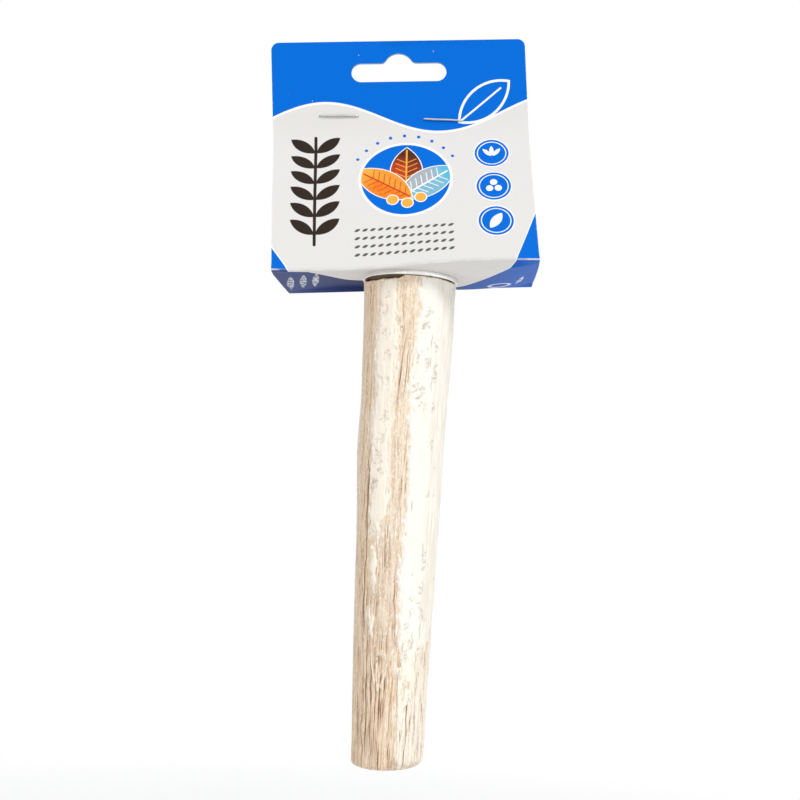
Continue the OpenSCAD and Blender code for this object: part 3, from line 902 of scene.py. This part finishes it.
def sheet_loops():
    """Outline and holes of the flat sheet, as lists of (u, q)."""
    front = [(u, -q_at(w)) for u, w in top_corners()]
    back = [(u, q_at(w)) for u, w in reversed(top_corners())]
    loops = [front + back, *([(u, sign * q_at(w)) for u, w in slot_loop()] for sign in (-1, 1)),
             arc(CARD_OFFSET / cos(CARD_TILT), 0, BOLT_HOLE_R, 0, 352.5, 47)]
    for x, rise, slope in STAPLES.values():
        for reach in (WIRE_R - STAPLE_W / 2, STAPLE_W / 2 - WIRE_R):
            q = q_at(SLEEVE_H + rise - reach * sin(slope))
            for side_q in (-q, q):
                loops.append(arc(x + reach * cos(slope), side_q, WIRE_R + WIRE_GAP, 0, 324, 9))
    return loops


def loop_edges(loops):
    for loop in loops:
        yield from zip(loop, loop[1:] + loop[:1])


def inside_loops(points, loops):
    """Even-odd test of points against all loops together."""
    x, y = points.T
    odd = False
    for (x0, y0), (x1, y1) in loop_edges(loops):
        if y0 != y1:
            odd ^= ((y0 > y) != (y1 > y)) & (x < (x1 - x0) * (y - y0) / (y1 - y0) + x0)
    return odd


def sheet_triangles():
    """Points and triangles of the flat sheet, fine enough to fold."""
    loops = sheet_loops()
    edge, margin = CARD_W / 2, 0.25
    top = q_at(CARD_H + edge * TOP_SLOPE)
    rows = np.concatenate([
        np.arange(0, SEAT_R, 1.6), np.linspace(SEAT_R, FOLD_START, 7)[:-1],
        np.linspace(FOLD_START, FOLD_END, 12), np.linspace(FOLD_END, BEND_START, 26)[1:],
        np.linspace(BEND_START, BEND_END, 12)[1:], np.arange(BEND_END + 2, top, 2)])
    rows = np.append(-rows[:0:-1], rows)
    # The grid keeps a little inside the edge
    grid = np.array([(u, q) for q in rows for u in np.linspace(-edge, edge, 52)[1:-1]])
    kept = inside_loops(grid, loops)
    for p, r in loop_edges(loops):
        along = np.subtract(r, p)
        t = np.clip((grid - p) @ along / (along @ along), 0, 1)
        kept &= np.linalg.norm(grid - p - t[:, None] * along, axis=1) > margin
    straight = q_at(CARD_H - edge * TOP_SLOPE - CORNER_R) - margin
    sides = [(u, q) for u in (-edge, edge) for q in rows if abs(q) < straight]
    ends = np.cumsum([0, *map(len, loops)])
    edges = list(loop_edges([*range(a, b)] for a, b in zip(ends, ends[1:])))
    verts = [Vector(p) for p in (*sum(loops, []), *sides, *grid[kept])]
    flat, _, tris = map(np.array, delaunay_2d_cdt(verts, edges, [], 0, 1e-5)[:3])
    return flat, tris[inside_loops(flat[tris].mean(axis=1), loops)]


class Ink:
    """Colours laid over each other."""

    def __init__(self, nodes, ground):
        self.n, self.colour = nodes, ground

    def lay(self, shape, rgb, share=1):
        self.colour = self.n.mix(shape.ramp(PRINT_EDGE, -PRINT_EDGE, 0, share), self.colour, rgb)


# Length of the sheet between its two folds
FOLD_TO_FOLD = 2 * FOLD_Q
# The front design: u from the card's middle, v up from the front fold
WAVE_LEVEL, WAVE_RISE, WAVE_SPAN, WAVE_START = 56, -5.6, 38, -6
# Lower edge of the pale field: two falls from the left, then a curve up to the right
CORNER_FALL, CORNER_LEVEL = -1.5, 7.6
ARC_FALL, ARC_LEVEL, ARC_LOW, ARC_TURN, ARC_CURVE = -0.2, -28.7, -36, 10, 0.306
PICTURE_AT, PICTURE_R = (1, 32), 14
SPRIG_FOOT, SPRIG_STEP, SPRIG_PAIRS = (-27.5, 12), 6.4, 6
ROUNDEL_X, ROUNDEL_FOOT, ROUNDEL_STEP, ROUNDEL_R = 28.6, 14, 13.6, 5.5


def print_field(ink, at):
    """A pale field with a wavy top and white edges."""
    u, v = at.part("X"), at.part("Y")
    swing = ((u - WAVE_START) * (pi / WAVE_SPAN)).math("SINE")
    above = v - (swing * WAVE_RISE + WAVE_LEVEL)
    fall = u * ARC_FALL + ARC_LEVEL
    climb = (u - ARC_TURN).most(0).math("POWER", 1.5) * ARC_CURVE + ARC_LOW
    corner = (u + CARD_W / 2) * CORNER_FALL + CORNER_LEVEL
    edge = fall.math("SMOOTH_MAX", climb, 8).math("SMOOTH_MAX", corner, 6)
    below = (edge - v) * 0.7
    ink.lay(above.most(below), PALE)
    ink.lay(above.line(0.75).most(below), WHITE)
    ink.lay(below.line(0.45).most(above), WHITE)


def print_picture(ink, at):
    """A fan of three veined leaves on a blue disc."""
    mottle = at.noise(1.1, 4, 0.7).ramp(0.5, 0.62, 0, 0.55)
    at = at.moved(*PICTURE_AT)
    disc = at.disc(PICTURE_R)
    ink.lay(disc - 0.8, WHITE)
    ink.lay(disc, BLUE)
    for angle, main, shade, rib in ((88, RUST, BROWN, AMBER), (34, SMOKE, TEAL, WHITE),
                                    (146, ORANGE, AMBER, RUST)):
        own = at.moved(8.2 * cos(radians(angle)), 9.4 * sin(radians(angle)) - 7, angle)
        blade = own.leaf(10.4, 5)
        ink.lay(disc.most(blade - 0.3), WHITE)
        blade = disc.most(blade)
        ink.lay(blade, main)
        # Half, tip and blotches in the second colour
        half, tip = own.part("Y").ramp(0.6, -0.6, 0, 0.5), own.part("X").ramp(2.5, 7.5, 0, 0.85)
        for share in (half, tip, mottle):
            ink.lay(blade, shade, share)
        veins = own.moved(-7, 0).repeat(2, 7).mirrored().moved(0, 1.7, 62).bar(1.9, 0.16)
        ink.lay(veins.most(blade + 0.5), rib, 0.8)
        ink.lay(own.bar(9.6, 0.26).most(blade + 0.5), rib)
    for place in ((-4.2, -8.2), (0.4, -9.6), (4.6, -7.6)):
        berry = at.moved(*place).disc(1.7)
        ink.lay(disc.most(berry - 0.3), WHITE)
        ink.lay(disc.most(berry), AMBER)


def print_roundels(ink, at):
    """Roundels with a leaf, berries and a fan of seeds."""
    roundel = at.repeat(y_step=ROUNDEL_STEP, y_count=3).disc(ROUNDEL_R)
    ink.lay(roundel - 0.35, WHITE)
    ink.lay(roundel, BLUE)
    ink.lay((roundel + 0.9).line(0.3), WHITE)
    ink.lay(at.moved(0, 0, 55).leaf(3.4, 1.5), WHITE)
    for place in arc(0, ROUNDEL_STEP, 1.6, 90, 330, 2):
        ink.lay(at.moved(*place).disc(1.15), WHITE)
    for angle in (50, 90, 130):
        x, y = 2.4 * cos(radians(angle)), 2.6 * sin(radians(angle)) - 1.6
        ink.lay(at.moved(x, 2 * ROUNDEL_STEP + y, angle).leaf(2, 0.7), WHITE)


def print_front(ink, at):
    """Leaf, picture, sprig, roundels and seeds on a pale field."""
    print_field(ink, at)
    leaf = at.moved(27, 60, 38).leaf(10.5, 5)
    ink.lay(leaf, BLUE)
    ink.lay(leaf.line(0.8), WHITE)
    ink.lay(at.moved(26, 59.2, 38).bar(8.2, 0.3).most(leaf), WHITE)
    print_picture(ink, at)
    # The dark sprig
    stem = at.moved(*SPRIG_FOOT, 90)
    half = SPRIG_STEP * SPRIG_PAIRS / 2
    ink.lay(stem.moved(half - 2, 0).bar(half + 1.5, 0.5), BROWN)
    pair = stem.moved(2.9, 0).repeat(SPRIG_STEP, SPRIG_PAIRS).mirrored()
    ink.lay(pair.moved(0, 4, 54).leaf(4.7, 1.9), BROWN)
    print_roundels(ink, at.moved(ROUNDEL_X, ROUNDEL_FOOT))
    # Seeds below the picture, and dots round its upper side
    seed = at.moved(-14.2, 4.4).repeat(2.4, 13, 2.9, 4).moved(0, 0, 25)
    ink.lay(seed.leaf(1, 0.46), GREY)
    for place in arc(*PICTURE_AT, 17.4, 30, 150, 8):
        ink.lay(at.moved(*place).disc(0.55), BLUE)


def print_under(ink, at):
    """Faint, half rubbed leaves on the underside."""
    rubbed = at.noise(0.7, 3, 0.7).ramp(0.46, 0.56, 0.1, 0.8)
    leaf = at.moved(-38, -22.5).repeat(4.3, 3).moved(0, 0, 82).leaf(10.5, 1.2)
    ink.lay(leaf, WHITE, rubbed)
    ink.lay(at.moved(30, -31.5).leaf(3.3, 2.9).line(1.1), WHITE, 0.7)
    ink.lay(at.moved(36.2, -26.5, 82).leaf(6, 0.8), WHITE, rubbed)


def print_back(ink, at):
    """A pale field with rows of seeds, three roundels and a leaf."""
    at = at.moved(0, -FOLD_TO_FOLD)
    field = at.moved(0, -29).bar(33, 4, 18)
    ink.lay(field, PALE)
    ink.lay(field.line(0.7), WHITE)
    ink.lay(at.moved(-30, -44).repeat(2.6, 12, 3, 9).moved(0, 0, 25).leaf(0.95, 0.42), GREY)
    each = at.moved(14, -40).repeat(y_step=11, y_count=3)
    ink.lay(each.disc(4.4), BLUE)
    ink.lay(each.moved(0, 0, 55).leaf(2.8, 1.2), WHITE)
    ink.lay(at.moved(27, -29, 90).leaf(9, 3.6), BROWN)


def make_printed():
    mat, n = new_material("printed_board")
    u, v = n.attribute("u"), n.attribute("v")
    at = n.add("CombineXYZ", (u, v))
    # The underside is painted a deeper blue as its shade, darkest near the branch as the branch's painted
    # shadow, with a brighter blue to the right and a greyer one at the far left as painted sheen
    under = v.ramp(0.2, -0.2) * v.ramp(-FOLD_TO_FOLD - 0.2, -FOLD_TO_FOLD + 0.2)
    deep = n.mix(u.ramp(-14, -34), n.mix(u.ramp(-6, 36), SHADE_NAVY, SHEEN_BLUE), GREY_SHEEN_BLUE)
    ink = Ink(n, n.mix(under, BLUE, deep))
    print_front(ink, at)
    print_under(ink, at)
    print_back(ink, at)
    # Ink worn off folds and cut edges, and specks of dust
    patchy, fine = at.noise(1.1, 4, 0.7), at.noise(5.5, 3, 0.6)
    to_fold = abs(v).math("MINIMUM", abs(v + FOLD_TO_FOLD))
    long = (at * (0.16, 1, 1)).noise(0.9, 3, 0.6) + abs(u).ramp(33, 40, 0, 0.1)
    fold = to_fold.ramp(0.3, 0.12) * long.ramp(0.47, 0.56, 0.12, 0.8)
    edge = abs(u).ramp(CARD_W / 2 - 0.4, CARD_W / 2 - 0.1) * patchy.ramp(0.56, 0.66, 0, 0.6)
    cells = n.add("TexVoronoi", {"Vector": at, "Scale": 0.12}, "Distance")
    speck = cells.ramp(0.026, 0.014) * fine.ramp(0.4, 0.55, 0.2, 1)
    base = n.mix(fold.most(edge).most(speck), ink.colour, (240, 240, 238))
    dents = n.place().noise(0.06, 2).bump(0.5, 0.25)
    n.surface(base, fine.ramp(0.3, 0.7, 0.36, 0.46), fine.bump(0.012, 0.5, Normal=dents), 0.06)
    return mat


def make_board(name, tint, contrast):
    """Bare board of paper fibres."""
    mat, n = new_material(name)
    fibre, pulp = n.place().noise(3.5, 5, 0.65), n.place().noise(0.5)
    dark = [c * contrast for c in tint]
    base = n.mix(fibre.ramp(0.35, 0.7), dark, tint)
    base = n.mix(pulp.ramp(0.4, 0.7, 0, 0.4), base, dark)
    n.surface(base, 0.85, fibre.bump(0.03, 0.6), 0.3)
    return mat


def make_card():
    flat, tris = sheet_triangles()
    # Turned so that the printed face looks outwards
    faces, sides = shell(tris[:, ::-1], len(flat))
    u, q = flat.T
    verts = np.concatenate([place_sheet(u, q, 1), place_sheet(u, q, -1)])
    mats = [make_printed(), make_board("board_inside", (226, 222, 214), 0.9),
            make_board("board_edge", (150, 182, 216), 0.86)]
    piece = new_piece("folded_card", verts, faces, mats, "header", "printed_board", ["header_card"],
                      sides, sharp=50)
    store(piece, u=np.tile(u, 2), v=np.tile(-q - FOLD_Q, 2))


def tube(path, radius, sides):
    """Points and faces of a round wire along a path."""
    rings = []
    side = (path[1] - path[0]).orthogonal()
    for i, p in enumerate(path):
        ahead = (path[min(i + 1, len(path) - 1)] - path[max(i - 1, 0)]).normalized()
        side = (side - ahead * side.dot(ahead)).normalized()
        other = side.cross(ahead)
        rings.append([p + side * x + other * y for x, y in arc(0, 0, radius, 0, 360, sides)[:-1]])
    return stack_rings(rings)


def make_staple(name, mat):
    """Crown in front, legs through both plies, ends clinched behind."""
    front = -WIRE_R - WIRE_GAP
    back = 2 * BOARD_T + WIRE_R + WIRE_GAP
    turn_x = STAPLE_W / 2 - WIRE_R - STAPLE_BEND_R
    # From the crown's middle to the clinched end
    half = [(share * turn_x, front - 0.12 * (1 - share ** 2), 0.06 * sin(3 * share))
            for share in np.linspace(0, 1, 9)]
    half += [(x, y, 0) for x, y in arc(turn_x, front + STAPLE_BEND_R, STAPLE_BEND_R, -75, 0, 5)
             + arc(turn_x, back - STAPLE_BEND_R, STAPLE_BEND_R, 0, 90, 6)]
    half += [(turn_x - share * (CLINCH_L - STAPLE_BEND_R), back + 0.3 * sin(pi * share) ** 2,
              -0.25 * share) for share in np.linspace(0.15, 1, 8)]
    x, rise, slope = STAPLES[name]
    place = (Matrix.Translation((-CARD_OFFSET, 0, 0)) @ Matrix.Rotation(-CARD_TILT, 4, "Y")
             @ Matrix.Translation((x, -BOARD_T, SLEEVE_H + rise)) @ Matrix.Rotation(slope, 4, "Y"))
    path = [place @ Vector(p) for p in [(-x, y, -z) for x, y, z in half[:0:-1]] + half]
    new_piece(name + "_wire", *tube(path, WIRE_R, 14), [mat], "header", "staple_wire", [name])


# Stage, lamps and sky


def make_stage():
    mesh = bmesh.new()
    bmesh.ops.create_grid(mesh, x_segments=8, y_segments=8, size=6)
    floor = object_from("floor", mesh)
    floor.location = (0, 0, ROD_LOW * MM - 0.15)
    mat, n = new_material("pale_floor")
    seen = n.add("LightPath", output="Is Camera Ray")
    away = n.add("TexCoord", output="Object").math("LENGTH")
    shader, glow = n.surface((251, 251, 251), 0.9, specular=0.1), n.add("Emission", ((255, 255, 255), 1))
    top = n.add("MixShader", (away.ramp(0.45, 0.8) * seen, shader, glow))
    # Seen from below, the floor isn't there
    under = n.add("NewGeometry", output="Backfacing") * seen
    both = n.add("MixShader", (under, top, n.add("BsdfTransparent")))
    n.feed(n.tree.nodes["Material Output"], (both,))
    floor.data.materials.append(mat)


def make_lamp(name, place, energy, spread):
    light = with_settings(bpy.data.lights.new(name, "SUN"), energy=energy, angle=radians(spread))
    add_object(name, light).rotation_euler = Vector(place).to_track_quat("Z", "Y").to_euler()


def make_light():
    world = with_settings(bpy.data.worlds.new("studio"), use_nodes=True)
    bpy.context.scene.world = world
    n = Nodes(world.node_tree)
    level = n.add("TexCoord", output="Generated").part("Z").ramp(-1, 1, 0.4, 0.62)
    sky = n.add("Background", ((251.6, 253.3, 255), level))
    white = n.add("Background", ((255, 255, 255), 1))
    seen, glossy, through = (n.add("LightPath", output=f"Is {kind} Ray")
                             for kind in ("Camera", "Glossy", "Transmission"))
    both = n.add("MixShader", (seen.most(glossy).most(through), sky, white))
    n.feed(n.tree.nodes["World Output"], (both,))
    make_lamp("key", (0.55, -0.8, 0.85), 1.5, 18)
    make_lamp("fill", (-0.6, -0.75, 0.15), 0.42, 40)
    make_lamp("side", (0.9, -0.3, 0.1), 0.22, 40)
    bpy.context.scene.view_settings.view_transform = "Standard"


def make_camera():
    data = with_settings(bpy.data.cameras.new("camera"), sensor_width=36, lens=56.25, clip_start=0.01,
                         clip_end=20)
    camera = add_object("camera", data)
    azimuth, elevation, roll = (radians(turn) for turn in CAMERA_TURNS)
    camera.matrix_world = (Matrix.Translation(Vector(CAMERA_PLACE) * MM) @ Matrix.Rotation(azimuth, 4, "Z")
                           @ Matrix.Rotation(pi / 2 - elevation, 4, "X") @ Matrix.Rotation(roll, 4, "Z"))
    bpy.context.scene.camera = camera


make_camera()
make_stage()
make_light()
make_branch()
make_coat()
zinc = make_zinc("zinc_plate", (251, 250, 247), 0.24, 6)
make_washer("perch_washer", "perch", zinc)
make_washer("cage_washer", "clamp_washer", zinc)
make_bolt(zinc)
make_nut(make_zinc("cast_zinc", (196, 196, 194), 0.4, 1))
make_card()
wire = make_zinc("staple_wire", (206, 205, 202), 0.4, 1)
for staple in STAPLES:
    make_staple(staple, wire)
